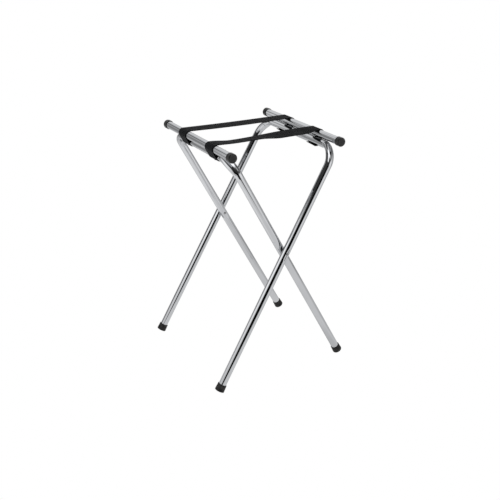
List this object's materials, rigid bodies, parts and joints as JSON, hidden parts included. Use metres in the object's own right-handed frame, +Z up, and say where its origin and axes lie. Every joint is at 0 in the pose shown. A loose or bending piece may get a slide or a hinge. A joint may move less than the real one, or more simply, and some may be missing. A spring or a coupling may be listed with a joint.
{
  "type": "folding tray stand",
  "caption": "Folding X-frame tray stand: crossed bent chrome tube legs on pivot rivets, capped top rails and black webbing straps that hold it open for a serving tray.",
  "frame": {"origin": "on the floor, under the middle of the open stand", "axes": "+Z up; X across the stand from the inner frame's rail (-X) to the outer frame's rail (+X); Y along the rails, front is -Y"},
  "size_m": [0.5124, 0.4986, 0.7893],
  "materials": {
    "chrome_tube": "bright chrome plating on bent steel tube",
    "black_rubber": "moulded black rubber, satin",
    "webbing": "woven black webbing with plain selvedges",
    "rivet_steel": "plated steel rivets",
    "washer_plastic": "black nylon"
  },
  "bodies": {
    "outer_frame": {"outer_leg_frame": "chrome_tube", "outer_top_rail": "chrome_tube", "outer_rail_cap_front": "black_rubber", "outer_foot_front": "black_rubber", "outer_rail_weld_front": "chrome_tube", "outer_strap_rivet_front": "rivet_steel", "outer_rail_cap_back": "black_rubber", "outer_foot_back": "black_rubber", "outer_rail_weld_back": "chrome_tube", "outer_strap_rivet_back": "rivet_steel", "front_strap": "webbing", "pivot_rivet_front": "rivet_steel", "pivot_washer_front": "washer_plastic", "back_strap": "webbing", "pivot_rivet_back": "rivet_steel", "pivot_washer_back": "washer_plastic"},
    "inner_frame": {"inner_leg_frame": "chrome_tube", "inner_top_rail": "chrome_tube", "inner_rail_cap_front": "black_rubber", "inner_foot_front": "black_rubber", "inner_rail_weld_front": "chrome_tube", "inner_strap_rivet_front": "rivet_steel", "inner_rail_cap_back": "black_rubber", "inner_foot_back": "black_rubber", "inner_rail_weld_back": "chrome_tube", "inner_strap_rivet_back": "rivet_steel"}
  },
  "joints": [
    {"name": "fold", "type": "hinge", "parent": "outer_frame", "child": "inner_frame", "pos_m": [0, 0, 0.436], "axis": [0, 1, 0], "range_deg": [0, 54], "deforming": ["front_strap", "back_strap"]}
  ]
}
